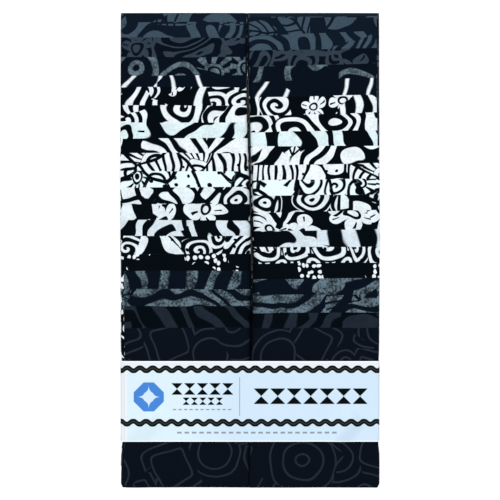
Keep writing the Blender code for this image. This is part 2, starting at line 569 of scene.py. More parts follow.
class Net:
    """Adds nodes to one tree, a material's or a group's."""

    def __init__(self, tree: bpy.types.NodeTree) -> None:
        """Keeps the tree."""
        self.tree = tree

    def node(self, kind: str, **settings: object) -> bpy.types.Node:
        """A new node of this kind with these settings.

        Args:
            kind: The node's type.
            settings: Its properties by their names.

        Returns:
            The node.
        """
        made = self.tree.nodes.new(kind)
        for name, value in settings.items():
            setattr(made, name, value)
        return made

    def feed(self, slot: Socket, value: Wire | Socket | float | tuple) -> None:
        """Links a wire or socket to an input, or sets the input's own value.

        Args:
            slot: The input.
            value: What feeds it.
        """
        if isinstance(value, Wire):
            self.tree.links.new(value.socket, slot)
        elif isinstance(value, bpy.types.NodeSocket):
            self.tree.links.new(value, slot)
        else:
            slot.default_value = value

    def wire(self, socket: Socket) -> Wire:
        """A socket as a wire."""
        return Wire(self, socket)

    def vector(self, operation: str, first: object, second: object) -> Socket:
        """The vector that one Vector Math node puts out; SCALE takes a number second.

        Args:
            operation: The node's operation.
            first: Its first value.
            second: Its second value.

        Returns:
            The vector's socket.
        """
        node = self.node("ShaderNodeVectorMath", operation=operation)
        self.feed(node.inputs[0], first)
        self.feed(node.inputs["Scale" if operation == "SCALE" else 1], second)
        return node.outputs["Vector"]

    def length(self, vector: Socket) -> Wire:
        """A vector's length.

        Args:
            vector: The vector.

        Returns:
            The length's wire.
        """
        node = self.node("ShaderNodeVectorMath", operation="LENGTH")
        self.feed(node.inputs[0], vector)
        return Wire(self, node.outputs["Value"])

    def parts(self, vector: Socket) -> tuple[Wire, Wire]:
        """A vector's first two parts.

        Args:
            vector: The vector.

        Returns:
            The wires of its X and its Y.
        """
        node = self.node("ShaderNodeSeparateXYZ")
        self.feed(node.inputs[0], vector)
        return Wire(self, node.outputs["X"]), Wire(self, node.outputs["Y"])

    def joined(self, across: Wire | float, along: Wire | float) -> Socket:
        """A vector of two parts.

        Args:
            across: Its X.
            along: Its Y.

        Returns:
            The vector's socket.
        """
        node = self.node("ShaderNodeCombineXYZ")
        self.feed(node.inputs["X"], across)
        self.feed(node.inputs["Y"], along)
        return node.outputs["Vector"]

    def turned(self, vector: Socket, angle: Wire | float) -> Socket:
        """A vector turned about Z by an angle in radians.

        Args:
            vector: The vector.
            angle: The angle.

        Returns:
            The turned vector's socket.
        """
        node = self.node("ShaderNodeVectorRotate", rotation_type="Z_AXIS")
        self.feed(node.inputs["Vector"], vector)
        self.feed(node.inputs["Angle"], angle)
        return node.outputs["Vector"]

    def noise(self, vector: Socket, scale: Wire | float, detail: float = 2.0) -> Wire:
        """A flat cloud of values round 0.5.

        Args:
            vector: The place.
            scale: How many clouds there are to a unit.
            detail: How fine it gets.

        Returns:
            The cloud's wire.
        """
        node = self.node("ShaderNodeTexNoise", noise_dimensions="2D")
        self.feed(node.inputs["Vector"], vector)
        self.feed(node.inputs["Scale"], scale)
        node.inputs["Detail"].default_value = detail
        return Wire(self, node.outputs[0])

    def cells(self, vector: Socket, feature: str, spread: float) -> bpy.types.Node:
        """A flat field of random cells, one to a unit.

        Args:
            vector: The place.
            feature: What the cells' node measures.
            spread: How far from even they lie, 0 to 1.

        Returns:
            The node.
        """
        node = self.node("ShaderNodeTexVoronoi", voronoi_dimensions="2D", feature=feature)
        self.feed(node.inputs["Vector"], vector)
        node.inputs["Scale"].default_value = 1.0
        node.inputs["Randomness"].default_value = spread
        return node

    def mix(self, share: Wire | float, first: object, second: object, blend: str = "MIX") -> Socket:
        """A colour between two, or the two blended another way.

        Args:
            share: The share of the second.
            first: The first colour.
            second: The second colour.
            blend: The way of blending.

        Returns:
            The colour's socket.
        """
        node = self.node("ShaderNodeMix", data_type="RGBA", blend_type=blend)
        self.feed(node.inputs["Factor"], share)
        slots = [slot for slot in node.inputs if slot.type == "RGBA"]
        for slot, value in zip(slots, (first, second)):
            self.feed(slot, (*value, 1.0) if isinstance(value, tuple) else value)
        return next(slot for slot in node.outputs if slot.type == "RGBA")

    def bump(self, height: Wire | Socket, strength: float, distance: float) -> Socket:
        """The normal of a surface with this relief.

        Args:
            height: The relief, from 0 to 1.
            strength: The share of it that shows.
            distance: The relief's full height, in millimetres.

        Returns:
            The normal's socket.
        """
        node = self.node("ShaderNodeBump")
        node.inputs["Strength"].default_value = strength
        node.inputs["Distance"].default_value = distance * MM
        self.feed(node.inputs["Height"], height)
        return node.outputs["Normal"]

    def flat_place(self) -> Socket:
        """The place on the flat sheet in millimetres, from its cloth map."""
        flat = self.node("ShaderNodeUVMap", uv_map="cloth")
        return self.vector("SCALE", flat.outputs["UV"], 1 / MM)

    def group(self, tree: bpy.types.NodeTree, **values: object) -> bpy.types.Node:
        """A node of a group with its inputs set or linked, by their names.

        Args:
            tree: The group.
            values: The inputs' values.

        Returns:
            The node.
        """
        node = self.node("ShaderNodeGroup", node_tree=tree)
        for name, value in values.items():
            self.feed(node.inputs[name.title()], value)
        return node


Build = Callable[[Net, dict[str, Socket]], tuple[Wire, ...]]


@dataclass(frozen=True)
class Effect:
    """A shader node group that puts out masks and values for more than one material."""

    name: str
    inputs: dict[str, float | None]
    outputs: tuple[str, ...]
    build: Build
    made: ClassVar[dict[str, bpy.types.NodeTree]] = {}

    def tree(self) -> bpy.types.NodeTree:
        """The group, made the first time it is asked for.

        Returns:
            The node group.
        """
        if self.name in Effect.made:
            return Effect.made[self.name]
        tree = bpy.data.node_groups.new(self.name, "ShaderNodeTree")
        for label, value in self.inputs.items():
            kind = "NodeSocketVector" if value is None else "NodeSocketFloat"
            slot = tree.interface.new_socket(label, in_out="INPUT", socket_type=kind)
            if value is not None:
                slot.default_value = value
        for label in self.outputs:
            tree.interface.new_socket(label, in_out="OUTPUT", socket_type="NodeSocketFloat")
        net = Net(tree)
        entry = net.node("NodeGroupInput")
        leave = net.node("NodeGroupOutput")
        results = self.build(net, {label: entry.outputs[label] for label in self.inputs})
        for label, result in zip(self.outputs, results):
            net.feed(leave.inputs[label], result)
        Effect.made[self.name] = tree
        return tree


EDGE_BLUR = 0.08  # millimetres over which a printed edge blurs


def stripe(turns: Wire, fill: Wire, soft: float = 0.04) -> Wire:
    """1 over a share of each whole turn of a value.

    Args:
        turns: The value.
        fill: The share.
        soft: How much of a turn each edge blurs over.

    Returns:
        The stripes' mask.
    """
    half = fill * 0.5
    return (turns.fract() - 0.5).size().step(half + soft, half - soft)


@dataclass(frozen=True)
class Cell:
    """The random cell round a place."""

    net: Net
    place: Socket
    node: bpy.types.Node

    def local(self) -> Socket:
        """The place from the cell's centre."""
        return self.net.vector("SUBTRACT", self.place, self.node.outputs["Position"])

    def away(self) -> Wire:
        """How far the place lies from the cell's centre."""
        return self.net.wire(self.node.outputs["Distance"])

    def chance(self) -> Wire:
        """The cell's own random value, 0 to 1."""
        return self.net.parts(self.node.outputs["Color"])[0]


@dataclass(frozen=True)
class Drawing:
    """Draws motifs as masks that are 1 on the motif: in cells of one size, with a pen and a fill."""

    net: Net
    place: Socket
    size: Wire
    line: Wire
    fill: Wire

    def cell(self, spread: float) -> Cell:
        """The random cell round the place; the spread says how far from even the cells lie."""
        return Cell(self.net, self.place, self.net.cells(self.place, "F1", spread))

    def crisp(self, beyond: Wire) -> Wire:
        """1 where a distance in cells is under 0, with the print's soft edge."""
        soft = self.size.math("POWER", -1.0) * EDGE_BLUR
        return beyond.step(soft, soft * -1.0)

    def pen(self, share: float) -> Wire:
        """A share of the line's width, in cells."""
        return self.line / self.size * share

    def turns(self, away: Wire) -> Wire:
        """How many lines, each with a space as wide, lie in a distance in cells."""
        return away * self.size / (self.line * 2.0)

    def leaves(self) -> Wire:
        """Pointed leaves with a bare midrib and side veins, each turned its own way.

        Returns:
            The leaves' mask.
        """
        half_length, rib_share, vein_slope, vein_pitch, veined = 0.60, 0.35, 0.9, 2.6, 0.45
        cell = self.cell(spread=0.6)
        chance = cell.chance()
        along, across = self.net.parts(self.net.turned(cell.local(), chance * math.tau))
        half_width = self.fill * 0.26 + 0.10
        radius = (half_width * half_width + half_length**2) / (half_width * 2.0)
        offset = radius - half_width
        upper = self.net.length(self.net.joined(along, across + offset))
        lower = self.net.length(self.net.joined(along, across - offset))
        leaf = self.crisp(upper.most(lower) - radius)
        rib = self.crisp(across.size() - self.pen(rib_share))
        slope = (along + across.size() * vein_slope) * self.size / (self.line * vein_pitch)
        veins = slope.fract().step(low=0.34, high=0.26) * chance.over(veined)
        return leaf * rib.inverse() * veins.inverse()

    def rings(self) -> Wire:
        """Rings round scattered centres, out to half a cell.

        Returns:
            The rings' mask.
        """
        reach = 0.55
        away = self.cell(spread=0.55).away()
        return stripe(self.turns(away), self.fill) * self.crisp(away - reach)

    def pebbles(self) -> Wire:
        """Rounded pebbles with a line between them, a few of them left out.

        Returns:
            The pebbles' mask.
        """
        reach, least = 0.6, 0.4
        edge = self.net.cells(self.place, "DISTANCE_TO_EDGE", spread=0.9)
        cell = self.cell(spread=0.9)
        chance = cell.chance()
        stone = self.crisp(self.pen(0.5) - self.net.wire(edge.outputs["Distance"]))
        corner = self.crisp(cell.away() - reach)
        return stone * corner * chance.under(self.fill * (1 - least) + least)

    def bands(self) -> Wire:
        """Flowing bands, the level lines of a smooth cloud.

        Returns:
            The bands' mask.
        """
        levels = 1.2
        cloud = self.net.noise(self.place, scale=0.85, detail=0.4)
        return stripe(cloud * (self.size / self.line) * levels, self.fill, soft=0.012)

    def stripes(self) -> Wire:
        """Bowed stripes.

        Returns:
            The stripes' mask.
        """
        waves, bow_height, drift_height = 2.6, 0.16, 0.5
        across, along = self.net.parts(self.place)
        drift = self.net.noise(self.place, scale=0.7, detail=0.0) * drift_height
        bow = (along * waves).math("SINE") * bow_height + drift
        return stripe(self.turns(across + bow), self.fill)

    def curls(self) -> Wire:
        """Curls that wind out from scattered centres.

        Returns:
            The curls' mask.
        """
        reach = 0.56
        cell = self.cell(spread=0.6)
        across, along = self.net.parts(cell.local())
        away = cell.away()
        turn = across.math("ARCTAN2", along) / math.tau + cell.chance()
        return stripe(self.turns(away) + turn, self.fill) * self.crisp(away - reach)

    def flowers(self) -> Wire:
        """Flowers of five round petals with a bare eye and a vein in each petal.

        Returns:
            The flowers' mask.
        """
        petals, roundness, notch, core = 5, 0.45, 0.30, 0.26
        eye_radius, vein_middle, vein_half, vein_limit = 0.13, 0.32, 0.08, 0.985
        cell = self.cell(spread=0.6)
        turned = self.net.turned(cell.local(), cell.chance() * math.tau)
        across, along = self.net.parts(turned)
        away = cell.away()
        wave = (across.math("ARCTAN2", along) * (petals / 2)).math("COSINE").size()
        reach = wave.math("POWER", roundness) * notch + self.fill * core
        flower = self.crisp(away - reach)
        eye = self.crisp((away - eye_radius).size() - self.pen(0.3))
        vein = wave.over(vein_limit) * (away - vein_middle).within(vein_half, soft=0.01)
        return flower * eye.inverse() * vein.inverse()

    def fans(self) -> Wire:
        """Fans of rays round an eye in a ring.

        Returns:
            The fans' mask.
        """
        reach, hub, eye_radius, rim_radius, rim_half, ray_pitch = 0.6, 0.26, 0.11, 0.21, 0.04, 1.3
        cell = self.cell(spread=0.55)
        across, along = self.net.parts(cell.local())
        angle = across.math("ARCTAN2", along) / math.tau
        away = cell.away()
        count = (self.size / self.line * ray_pitch).math("ROUND")
        rays = stripe(angle * count, self.fill) * self.crisp(away - reach) * away.over(hub)
        eye = self.crisp(away - eye_radius)
        rim = self.crisp((away - rim_radius).size() - rim_half)
        return rays.most(eye).most(rim)

    def scallops(self) -> Wire:
        """Rows of scallops like roof tiles, each with arcs inside it.

        Returns:
            The scallops' mask.
        """
        radius, rim = 0.5, 0.1
        across, along = self.net.parts(self.place)
        row = (along / radius).math("FLOOR")
        shifted = (across + row * radius).fract() - radius
        height = (along / radius).fract() * radius
        here = self.net.length(self.net.joined(shifted, height))
        beside = self.net.length(self.net.joined(shifted.size() - radius, height - radius))
        inside = here.under(radius)
        away = here * inside + beside * inside.inverse()
        return stripe(self.turns(away * -1.0 + radius) + rim, self.fill)

    def beads(self) -> Wire:
        """Round beads, loosely set."""
        cell = self.cell(spread=0.68)
        return self.crisp(cell.away() - self.pen(0.5)) * cell.chance().under(self.fill)

    def outlines(self) -> Wire:
        """Double outlines of shapes, some round and some squarish.

        Returns:
            The outlines' mask.
        """
        radius, turn, round_power, square_power = 0.44, 0.5, 2.0, 7.0
        cell = self.cell(spread=0.5)
        chance = cell.chance()
        across, along = self.net.parts(self.net.turned(cell.local(), chance * turn))
        power = chance.over(0.5) * (square_power - round_power) + round_power
        total = across.size().math("POWER", power) + along.size().math("POWER", power)
        away = total.math("POWER", power.math("POWER", -1.0))
        half = self.pen(0.5)
        outer = self.crisp((away - radius).size() - half)
        inner = self.crisp((away - self.fill * radius).size() - half)
        return outer.most(inner)


class Motif(Enum):
    """What a patch of a print is filled with, and how it is drawn."""

    LEAVES = ("Leaves", Drawing.leaves)
    RINGS = ("Rings", Drawing.rings)
    PEBBLES = ("Pebbles", Drawing.pebbles)
    BANDS = ("Bands", Drawing.bands)
    STRIPES = ("Stripes", Drawing.stripes)
    CURLS = ("Curls", Drawing.curls)
    FLOWERS = ("Flowers", Drawing.flowers)
    FANS = ("Fans", Drawing.fans)
    SCALLOPS = ("Scallops", Drawing.scallops)
    BEADS = ("Beads", Drawing.beads)
    OUTLINES = ("Outlines", Drawing.outlines)

    def tree(self) -> bpy.types.NodeTree:
        """The motif's node group, which works in cells of its own size.

        Returns:
            The node group.
        """
        label, draw = self.value

        def build(net: Net, sockets: dict[str, Socket]) -> tuple[Wire]:
            """The motif's mask from the group's inputs."""
            size, line, fill = (net.wire(sockets[name]) for name in ("Size", "Line", "Fill"))
            return (draw(Drawing(net, sockets["Vector"], size, line, fill)),)

        inputs = {"Vector": None, "Size": 12.0, "Line": 1.5, "Fill": 0.5}
        return Effect(f"{label} motif", inputs, ("Mask",), build).tree()


def draw_patches(net: Net, sockets: dict[str, Socket]) -> tuple[Wire, Wire]:
    """Patches of a print, with the line between them and a chance for each.

    Args:
        net: The group's nodes.
        sockets: The group's inputs by their names.

    Returns:
        The line's mask and the chance, 0 to 1.
    """
    spread = 0.9
    size = net.wire(sockets["Size"])
    place = net.vector("SCALE", sockets["Vector"], size.math("POWER", -1.0))
    edge = net.wire(net.cells(place, "DISTANCE_TO_EDGE", spread).outputs["Distance"])
    pick = Cell(net, place, net.cells(place, "F1", spread)).chance()
    half = net.wire(sockets["Border"]) / size * 0.5
    soft = size.math("POWER", -1.0) * EDGE_BLUR
    return edge.step(half + soft, half - soft), pick


def draw_hand(net: Net, sockets: dict[str, Socket]) -> tuple[Wire, Wire]:
    """A place bent as an unsteady hand would draw it.

    Args:
        net: The group's nodes.
        sockets: The group's inputs by their names.

    Returns:
        The bent place's two parts.
    """
    apart = (37.0, 91.0, 0.0)
    scale = net.wire(sockets["Size"]).math("POWER", -1.0)
    reach = net.wire(sockets["Amount"]) * 2.0
    shifted = net.vector("ADD", sockets["Vector"], apart)
    across, along = net.parts(sockets["Vector"])
    across = across + (net.noise(sockets["Vector"], scale, 1.0) - 0.5) * reach
    along = along + (net.noise(shifted, scale, 1.0) - 0.5) * reach
    return across, along


def draw_weave(net: Net, sockets: dict[str, Socket]) -> tuple[Wire, Wire]:
    """Plain weave: the threads' height, and a lightness with painted shade in its hollows and random
    slub tone.

    Args:
        net: The group's nodes.
        sockets: The group's inputs by their names.

    Returns:
        The height and the lightness, painted shade and slub together.
    """
    knots, hollows, drawn_out = 0.7, 0.6, (0.25, 4.0, 0.0)
    pitch = net.wire(sockets["Pitch"])
    across, along = net.parts(sockets["Vector"])
    uneven = net.noise(sockets["Vector"], scale=0.35, detail=3.0) * 0.5
    warp = (across / pitch + uneven) * math.pi
    weft = (along / pitch + uneven) * math.pi
    over = (warp.math("SINE") * weft.math("SINE")).size()
    rib = warp.math("COSINE").size() * 0.5 + weft.math("COSINE").size() * 0.5
    height = over * knots + rib * (1 - knots)
    slub = net.noise(net.vector("MULTIPLY", sockets["Vector"], drawn_out), scale=1.0, detail=2.0)
    # the lightness paints shade into the hollows between threads, mixed with random slub tone
    return height, height * hollows + slub * (1 - hollows)


def draw_dye(net: Net, sockets: dict[str, Socket]) -> tuple[Wire, Wire]:
    """Wax-resist dye: cloudy mottling and fine broken cracks.

    Args:
        net: The group's nodes.
        sockets: The group's inputs by their names.

    Returns:
        The mottling and the cracks.
    """
    coarse, cracks_apart, unbroken = 0.45, 0.16, 0.52
    cloud = net.noise(sockets["Vector"], scale=0.22, detail=2.0) * coarse
    grain = net.noise(sockets["Vector"], scale=1.1, detail=4.0) * (1 - coarse)
    bent = net.vector("SCALE", sockets["Vector"], cracks_apart)
    crack = net.wire(net.cells(bent, "DISTANCE_TO_EDGE", spread=1.0).outputs["Distance"])
    broken = net.noise(sockets["Vector"], scale=0.3, detail=3.0).over(unbroken)
    mottling = (cloud + grain).step(low=0.38, high=0.62)
    return mottling, crack.step(low=0.04, high=0.015) * broken


PATCHES = Effect(
    "Print patches", {"Vector": None, "Size": 20.0, "Border": 1.0}, ("Border", "Pick"), draw_patches
)
HAND = Effect(
    "Unsteady hand", {"Vector": None, "Size": 14.0, "Amount": 2.5}, ("Across", "Along"), draw_hand
)
WEAVE = Effect("Plain weave", {"Vector": None, "Pitch": 0.34}, ("Height", "Shade"), draw_weave)
DYE = Effect("Wax resist dye", {"Vector": None}, ("Mottle", "Cracks"), draw_dye)


@dataclass(frozen=True)
class Fill:
    """One motif of a print, for the patches whose chance lies below its limit."""

    motif: Motif
    size: float
    line: float
    share: float = 0.5
    limit: float = 1.0
    turn: float = 0.0


@dataclass(frozen=True)
class Cotton:
    """The finish of woven, dyed cotton that all the prints share."""

    roughness: float = 0.86
    roughness_swing: float = 0.08
    specular: float = 0.02
    sheen: float = 0.001
    sheen_roughness: float = 0.6
    dye_depth: float = 2.2
    crack_depth: float = 1.2
    # painted shade: the colour of the weave's hollows, and the lightness range it spreads over
    painted_hollow_shade: Colour = (0.82, 0.82, 0.83)
    hollow_shade_limits: tuple[float, float] = (0.1, 0.75)
    weave_strength: float = 0.35
    weave_height: float = 0.06
    # painted shade: the cloth between the plies and in the folds is close to the print's darker
    # colour
    inside_shade_share: float = 0.08
    cut_share: float = 0.6

    def finish(self, shader: bpy.types.Node) -> None:
        """Gives cotton's low shine and faint sheen.

        Args:
            shader: The material's shader.
        """
        shader.inputs["Specular IOR Level"].default_value = self.specular
        shader.inputs["Sheen Weight"].default_value = self.sheen
        shader.inputs["Sheen Roughness"].default_value = self.sheen_roughness


@dataclass(frozen=True)
class Print:
    """One of the pack's designs: its colours, its patches and what they are filled with."""

    slot: str
    ground: Colour
    figure: Colour
    fills: tuple[Fill, ...]
    patch: float = 22.0
    border: float = 0.0
    border_drawn: bool = False
    mottle: float = 0.07
    hand: float = 2.5
    dots: float = 0.0
    dot_line: float = 0.28
    dot_share: float = 0.4
    fill_shift: tuple[float, float] = (7.3, 3.1)
    cotton: Cotton = Cotton()

    def mask(self, net: Net, place: Socket) -> Wire:
        """Where the figures lie, from 0 to 1.

        Args:
            net: The material's nodes.
            place: The place on the flat cloth, in millimetres.

        Returns:
            The figures' mask.
        """
        hand = net.group(HAND.tree(), vector=place, amount=self.hand)
        bent = net.joined(net.wire(hand.outputs["Across"]), net.wire(hand.outputs["Along"]))
        patch = net.group(PATCHES.tree(), vector=bent, size=self.patch, border=self.border)
        pick = net.wire(patch.outputs["Pick"])
        drawn: Wire | None = None
        for index, fill in enumerate(self.fills):
            cells = net.vector("SCALE", net.turned(bent, math.radians(fill.turn)), 1 / fill.size)
            shift = (index * self.fill_shift[0], index * self.fill_shift[1], 0.0)
            shifted = net.vector("ADD", cells, shift)
            motif = net.group(
                fill.motif.tree(), vector=shifted, size=fill.size, line=fill.line, fill=fill.share
            )
            one = net.wire(motif.outputs["Mask"])
            if drawn is None:
                drawn = one
            else:
                before = pick.under(self.fills[index - 1].limit)
                drawn = drawn * before + one * before.inverse()
        if self.border > 0:
            line = net.wire(patch.outputs["Border"])
            drawn = drawn.most(line) if self.border_drawn else drawn * line.inverse()
        if self.dots > 0:
            cells = net.vector("SCALE", bent, 1 / self.dots)
            beads = net.group(
                Motif.BEADS.tree(),
                vector=cells,
                size=self.dots,
                line=self.dots * self.dot_line,
                fill=self.dot_share,
            )
            drawn = drawn * net.wire(beads.outputs["Mask"]).inverse()
        return drawn

    def face(self, name: str) -> bpy.types.Material:
        """The print on cotton, with its weave's relief and painted shade in its hollows, its dye and
        a little sheen.

        Args:
            name: The material's name.

        Returns:
            The material.
        """
        cotton = self.cotton
        made, shader = blank_material(name)
        net = Net(made.node_tree)
        place = net.flat_place()
        dye = net.group(DYE.tree(), vector=place)
        weave = net.group(WEAVE.tree(), vector=place)
        mottle = net.wire(dye.outputs["Mottle"])
        dark = tuple(part * (1 - cotton.dye_depth * self.mottle) for part in self.figure)
        figure = net.mix(mottle, dark, self.figure)
        cracks = net.wire(dye.outputs["Cracks"]) * (self.mottle * cotton.crack_depth)
        figure = net.mix(cracks, figure, self.ground)
        coloured = net.mix(self.mask(net, place), self.ground, figure)
        # painted shade in the weave's hollows, with random slub tone, multiplied into the print
        threads = net.wire(weave.outputs["Shade"]).step(*cotton.hollow_shade_limits)
        hollow_shade_tone = net.mix(threads, cotton.painted_hollow_shade, (1.0, 1.0, 1.0))
        net.feed(shader.inputs["Base Color"], net.mix(1.0, coloured, hollow_shade_tone, "MULTIPLY"))
        relief = net.bump(weave.outputs["Height"], cotton.weave_strength, cotton.weave_height)
        net.feed(shader.inputs["Normal"], relief)
        least = cotton.roughness - cotton.roughness_swing / 2
        net.feed(shader.inputs["Roughness"], mottle * cotton.roughness_swing + least)
        cotton.finish(shader)
        return made

    def plain(self, name: str, share: float) -> bpy.types.Material:
        """Cloth of the print's darker colour with a share of the lighter one.

        Args:
            name: The material's name.
            share: How much of the lighter colour it has.

        Returns:
            The material.
        """
        made, shader = blank_material(name)
        darker, lighter = sorted((self.ground, self.figure))
        colour = [d + (light - d) * share for d, light in zip(darker, lighter)]
        shader.inputs["Base Color"].default_value = (*colour, 1.0)
        shader.inputs["Roughness"].default_value = self.cotton.roughness
        self.cotton.finish(shader)
        return made

    def finishes(self, label: str) -> list[bpy.types.Material]:
        """The print's materials, made once for each label.

        Args:
            label: What ends their names.

        Returns:
            The print, the cloth between the plies and in the folds in painted shade, and the cut
            edge.
        """
        known = bpy.data.materials.get
        face, inside, cut = f"print_{label}", f"inside_{label}", f"cut_edge_{label}"
        return [
            known(face) or self.face(face),
            # inside: painted shade, nearly the print's darker colour, for the cloth between the
            # plies, in the folds and deep in the gap
            known(inside) or self.plain(inside, self.cotton.inside_shade_share),
            known(cut) or self.plain(cut, self.cotton.cut_share),
        ]


NAVY = linear(12, 24, 36)
NIGHT = linear(6, 15, 26)
BLACK = linear(3, 9, 15)
INDIGO = linear(8, 15, 25)
SLATE = linear(62, 79, 93)
DUSK = linear(49, 61, 73)
MIST = linear(96, 115, 126)
SNOW = linear(232, 241, 246)
ICE = linear(218, 237, 241)
PEARL = linear(222, 233, 239)
SMOKE = linear(209, 222, 231)
FROST = linear(220, 236, 241)
GRAPHITE = linear(30, 39, 49)
PENCIL = linear(34, 43, 52)

PRINTS = (
    Print("cloth_slate", NAVY, SLATE, (
        Fill(Motif.BANDS, 22, 4.2, 0.52, 0.55), Fill(Motif.LEAVES, 16, 1.4, 0.7)),
        patch=27, hand=3.5),
    Print("cloth_slate", NAVY, SLATE, (
        Fill(Motif.STRIPES, 15, 2.0, 0.5, 0.35, 12), Fill(Motif.BANDS, 18, 3.4, 0.5)),
        patch=19, hand=4.0),
    Print("cloth_slate", NIGHT, DUSK, (
        Fill(Motif.FLOWERS, 15, 1.6, 0.5, 0.3), Fill(Motif.OUTLINES, 13, 1.3, 0.55, 0.65),
        Fill(Motif.BANDS, 14, 2.2, 0.32)), patch=21, border=1.4, border_drawn=True, hand=4.0),
    Print("cloth_steel", NIGHT, MIST, (
        Fill(Motif.RINGS, 21, 2.6, 0.4, 0.5), Fill(Motif.FANS, 15, 2.2, 0.5, 0.7),
        Fill(Motif.BEADS, 14, 8.0, 0.6)), patch=24, mottle=0.30, hand=2.5),
    Print("cloth_ink", NIGHT, SNOW, (
        Fill(Motif.STRIPES, 22, 4.8, 0.14, 0.3, 15), Fill(Motif.BEADS, 24, 1.6, 0.0, 0.78),
        Fill(Motif.STRIPES, 22, 4.8, 0.16, 1.0, -35)), patch=17, hand=2.5),
    Print("cloth_ink_white", BLACK, SNOW, (
        Fill(Motif.STRIPES, 16, 2.7, 0.4, 0.4), Fill(Motif.CURLS, 13, 1.6, 0.5, 0.75),
        Fill(Motif.FLOWERS, 12, 1.3, 0.5)), patch=15, hand=3.0),
    Print("cloth_ink_white", BLACK, SNOW, (
        Fill(Motif.BANDS, 19, 3.0, 0.5, 0.55), Fill(Motif.CURLS, 17, 2.1, 0.5)),
        patch=24, hand=4.0),
    Print("cloth_pale", BLACK, ICE, (
        Fill(Motif.BANDS, 26, 6.0, 0.55, 0.6), Fill(Motif.FLOWERS, 22, 3.0, 0.8)),
        patch=28, hand=4.0),
    Print("cloth_pale", BLACK, SNOW, (
        Fill(Motif.LEAVES, 20, 1.6, 1.0, 0.4), Fill(Motif.STRIPES, 17, 2.4, 0.53, 0.65, 38),
        Fill(Motif.BANDS, 20, 3.6, 0.53)), patch=20, hand=4.0),
    Print("cloth_pale", BLACK, SNOW, (
        Fill(Motif.FANS, 22, 1.4, 0.6, 0.5), Fill(Motif.STRIPES, 15, 1.5, 0.6, 0.7, 25),
        Fill(Motif.PEBBLES, 8, 1.3, 1.0)), patch=21, border=1.2, hand=3.0, dots=4.4),
    Print("cloth_pale", FROST, BLACK, (
        Fill(Motif.BEADS, 4.2, 1.5, 0.6, 0.35), Fill(Motif.CURLS, 11, 1.5, 0.42, 0.7),
        Fill(Motif.FANS, 12, 1.3, 0.42)), patch=13, border=1.5, border_drawn=True, hand=3.5),
    Print("cloth_ink_white", BLACK, PEARL, (
        Fill(Motif.PEBBLES, 7.5, 1.8, 0.95, 0.5), Fill(Motif.BANDS, 18, 3.0, 0.54, 0.75),
        Fill(Motif.RINGS, 13, 1.5, 0.5)), patch=20, border=1.6, hand=3.0),
    Print("cloth_ink_white", BLACK, PEARL, (
        Fill(Motif.FLOWERS, 16, 2.0, 0.75, 0.45), Fill(Motif.PEBBLES, 12, 2.6, 0.85, 0.7),
        Fill(Motif.BANDS, 19, 4.2, 0.6)), patch=23, hand=4.5),
    Print("cloth_ink_white", BLACK, SMOKE, (
        Fill(Motif.STRIPES, 22, 5.2, 0.46, 0.5, 8), Fill(Motif.BANDS, 22, 5.0, 0.46)),
        patch=24, hand=4.5),
    Print("cloth_pale", BLACK, PEARL, (
        Fill(Motif.SCALLOPS, 13, 1.7, 0.40, 0.35), Fill(Motif.CURLS, 12, 1.5, 0.40, 0.65),
        Fill(Motif.LEAVES, 14, 1.4, 0.9, 0.85), Fill(Motif.BANDS, 15, 2.4, 0.52)),
        patch=16, hand=3.0, dots=5.0),
    Print("cloth_ink", BLACK, SNOW, (
        Fill(Motif.BEADS, 2.4, 1.6, 0.85, 0.26), Fill(Motif.BEADS, 30, 1.5, 0.0)),
        patch=9, hand=2.0),
    Print("cloth_slate", NIGHT, MIST, (
        Fill(Motif.PEBBLES, 14, 4.2, 0.5, 0.4), Fill(Motif.STRIPES, 19, 3.8, 0.42, 0.72, 68),
        Fill(Motif.STRIPES, 18, 4.2, 0.34, 1.0, 10)), patch=22, mottle=0.40, hand=3.5),
    Print("cloth_steel", NIGHT, MIST, (
        Fill(Motif.STRIPES, 21, 3.2, 0.58, 0.45, 80), Fill(Motif.LEAVES, 17, 1.3, 1.0, 0.7),
        Fill(Motif.BANDS, 22, 4.2, 0.5)), patch=27, mottle=0.38, hand=5.0),
    Print("cloth_ink", BLACK, GRAPHITE, (
        Fill(Motif.PEBBLES, 17, 4.4, 0.55, 0.45), Fill(Motif.STRIPES, 20, 4.6, 0.42, 0.72, 72),
        Fill(Motif.STRIPES, 19, 4.4, 0.4, 1.0, 12)), patch=24, mottle=0.08, hand=3.5),
    Print("cloth_ink", INDIGO, PENCIL, (
        Fill(Motif.OUTLINES, 23, 0.7, 0.66, 0.5), Fill(Motif.RINGS, 26, 2.6, 0.14, 0.72),
        Fill(Motif.STRIPES, 14, 0.9, 0.5, 0.79, 80), Fill(Motif.OUTLINES, 13, 0.7, 0.5)),
        patch=24, mottle=0.05, hand=1.4),
)


@dataclass(frozen=True)
class Row:
    """Where one row's two strips lie: each front edge and raw end, and the slant in degrees.

    Just below the part that shows, the left strip's raw end moves from its inset to its tuck.
    """

    left_edge: float
    left_inset: float
    left_tuck: float
    right_edge: float
    right_inset: float
    right_slant: float
    shown: float = 6.0
    tuck_length: float = 3.0

    def edge(self, side: Side) -> float:
        """The strip's upper edge, in millimetres down the pack at the column's middle."""
        return self.left_edge if side is Side.LEFT else self.right_edge

    def inset(self, side: Side, down: float) -> float:
        """How far the strip's raw end stays behind the column's outer edge.

        Args:
            side: The strip's column.
            down: The distance down the pack.

        Returns:
            The distance in millimetres.
        """
        if side is Side.RIGHT:
            return self.right_inset
        covered = self.left_edge + self.shown
        limits = (covered, covered + self.tuck_length)
        return float(np.interp(down, limits, (self.left_inset, self.left_tuck)))

    def slant(self, side: Side) -> float:
        """How much the strip rises towards its outer edge."""
        return 0.0 if side is Side.LEFT else self.right_slant


